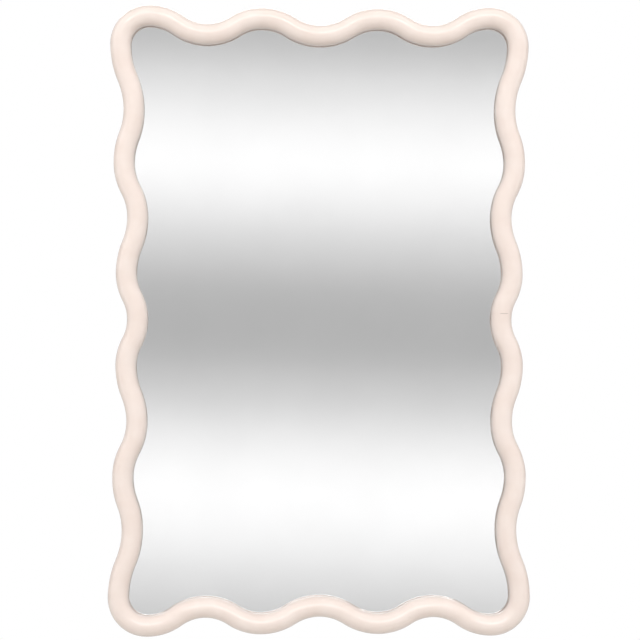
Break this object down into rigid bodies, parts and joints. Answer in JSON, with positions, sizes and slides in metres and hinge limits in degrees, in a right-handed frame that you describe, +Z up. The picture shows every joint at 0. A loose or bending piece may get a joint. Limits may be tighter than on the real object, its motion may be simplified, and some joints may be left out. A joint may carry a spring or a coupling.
{
  "type": "wavy wall mirror",
  "caption": "Rectangular wall mirror in a wavy bent-tube frame, with wavy silvered glass on a back panel, turn clips that hold the panel and ring hangers behind",
  "frame": {"origin": "middle of the wall plane that the bumpers rest on, behind the centre of the mirror", "axes": "+X to the right seen from the front, +Y from the mirror into the wall, +Z up"},
  "size_m": [0.61, 0.0367, 0.914],
  "materials": {
    "powder_coated_steel": "gloss cream powder coat",
    "bare_steel": "as drawn",
    "zinc_plated_steel": "bright zinc plate",
    "clear_glass": "polished float glass",
    "silvering": "silvered, painted at the back",
    "seal_rubber": "satin",
    "foam_tape": "closed-cell foam",
    "fibreboard": "sanded medium density fibreboard",
    "bumper_rubber": "matte"
  },
  "bodies": {
    "frame": {"frame_tube_upper": "powder_coated_steel", "frame_tube_lower": "powder_coated_steel", "seam_welds": "powder_coated_steel", "joint_sleeve_left": "bare_steel", "joint_sleeve_right": "bare_steel", "glazing_bead": "seal_rubber", "mirror_glass": "clear_glass", "silver_coat": "silvering", "bonding_tape": "foam_tape", "back_panel": "fibreboard", "rivet_nuts": "zinc_plated_steel", "clip_screws": "zinc_plated_steel", "clip_washers": "zinc_plated_steel", "hanger_screws": "zinc_plated_steel", "hanger_strap_left": "zinc_plated_steel", "hanger_strap_right": "zinc_plated_steel", "hanger_strap_top": "zinc_plated_steel", "hanger_strap_bottom": "zinc_plated_steel", "wall_bumper_top_left": "bumper_rubber", "wall_bumper_top_right": "bumper_rubber", "wall_bumper_bottom_left": "bumper_rubber", "wall_bumper_bottom_right": "bumper_rubber"},
    "turn_clip_top_left": {"turn_clip_top_left": "zinc_plated_steel"},
    "turn_clip_top_middle": {"turn_clip_top_middle": "zinc_plated_steel"},
    "turn_clip_top_right": {"turn_clip_top_right": "zinc_plated_steel"},
    "turn_clip_bottom_left": {"turn_clip_bottom_left": "zinc_plated_steel"},
    "turn_clip_bottom_middle": {"turn_clip_bottom_middle": "zinc_plated_steel"},
    "turn_clip_bottom_right": {"turn_clip_bottom_right": "zinc_plated_steel"},
    "turn_clip_left_upper": {"turn_clip_left_upper": "zinc_plated_steel"},
    "turn_clip_left_lower": {"turn_clip_left_lower": "zinc_plated_steel"},
    "turn_clip_right_upper": {"turn_clip_right_upper": "zinc_plated_steel"},
    "turn_clip_right_lower": {"turn_clip_right_lower": "zinc_plated_steel"},
    "hanger_ring_left": {"hanger_ring_left": "zinc_plated_steel"},
    "hanger_ring_right": {"hanger_ring_right": "zinc_plated_steel"},
    "hanger_ring_top": {"hanger_ring_top": "zinc_plated_steel"},
    "hanger_ring_bottom": {"hanger_ring_bottom": "zinc_plated_steel"}
  },
  "joints": [
    {"name": "clip_turn_top_left", "type": "hinge", "parent": "frame", "child": "turn_clip_top_left", "pos_m": [-0.1645, -0.00535, 0.415], "axis": [0, 1, 0], "range_deg": [-90, 90]},
    {"name": "clip_turn_top_middle", "type": "hinge", "parent": "frame", "child": "turn_clip_top_middle", "pos_m": [0, -0.00535, 0.414], "axis": [0, 1, 0], "range_deg": [-90, 90]},
    {"name": "clip_turn_top_right", "type": "hinge", "parent": "frame", "child": "turn_clip_top_right", "pos_m": [0.1645, -0.00535, 0.415], "axis": [0, 1, 0], "range_deg": [-90, 90]},
    {"name": "clip_turn_bottom_left", "type": "hinge", "parent": "frame", "child": "turn_clip_bottom_left", "pos_m": [-0.1645, -0.00535, -0.415], "axis": [0, 1, 0], "range_deg": [-90, 90]},
    {"name": "clip_turn_bottom_middle", "type": "hinge", "parent": "frame", "child": "turn_clip_bottom_middle", "pos_m": [0, -0.00535, -0.414], "axis": [0, 1, 0], "range_deg": [-90, 90]},
    {"name": "clip_turn_bottom_right", "type": "hinge", "parent": "frame", "child": "turn_clip_bottom_right", "pos_m": [0.1645, -0.00535, -0.415], "axis": [0, 1, 0], "range_deg": [-90, 90]},
    {"name": "clip_turn_left_upper", "type": "hinge", "parent": "frame", "child": "turn_clip_left_upper", "pos_m": [-0.2645, -0.00535, 0.1485], "axis": [0, 1, 0], "range_deg": [-90, 90]},
    {"name": "clip_turn_left_lower", "type": "hinge", "parent": "frame", "child": "turn_clip_left_lower", "pos_m": [-0.2645, -0.00535, -0.1485], "axis": [0, 1, 0], "range_deg": [-90, 90]},
    {"name": "clip_turn_right_upper", "type": "hinge", "parent": "frame", "child": "turn_clip_right_upper", "pos_m": [0.2645, -0.00535, 0.1485], "axis": [0, 1, 0], "range_deg": [-90, 90]},
    {"name": "clip_turn_right_lower", "type": "hinge", "parent": "frame", "child": "turn_clip_right_lower", "pos_m": [0.2645, -0.00535, -0.1485], "axis": [0, 1, 0], "range_deg": [-90, 90]},
    {"name": "ring_swing_left", "type": "hinge", "parent": "frame", "child": "hanger_ring_left", "pos_m": [-0.2845, -0.0034, 0.24505], "axis": [-1, 0, 0], "range_deg": [0, 165]},
    {"name": "ring_swing_right", "type": "hinge", "parent": "frame", "child": "hanger_ring_right", "pos_m": [0.2845, -0.0034, 0.24505], "axis": [-1, 0, 0], "range_deg": [0, 165]},
    {"name": "ring_swing_top", "type": "hinge", "parent": "frame", "child": "hanger_ring_top", "pos_m": [0.10155, -0.0034, 0.439], "axis": [0, 0, 1], "range_deg": [0, 165]},
    {"name": "ring_swing_bottom", "type": "hinge", "parent": "frame", "child": "hanger_ring_bottom", "pos_m": [0.10155, -0.0034, -0.439], "axis": [0, 0, 1], "range_deg": [0, 165]}
  ]
}
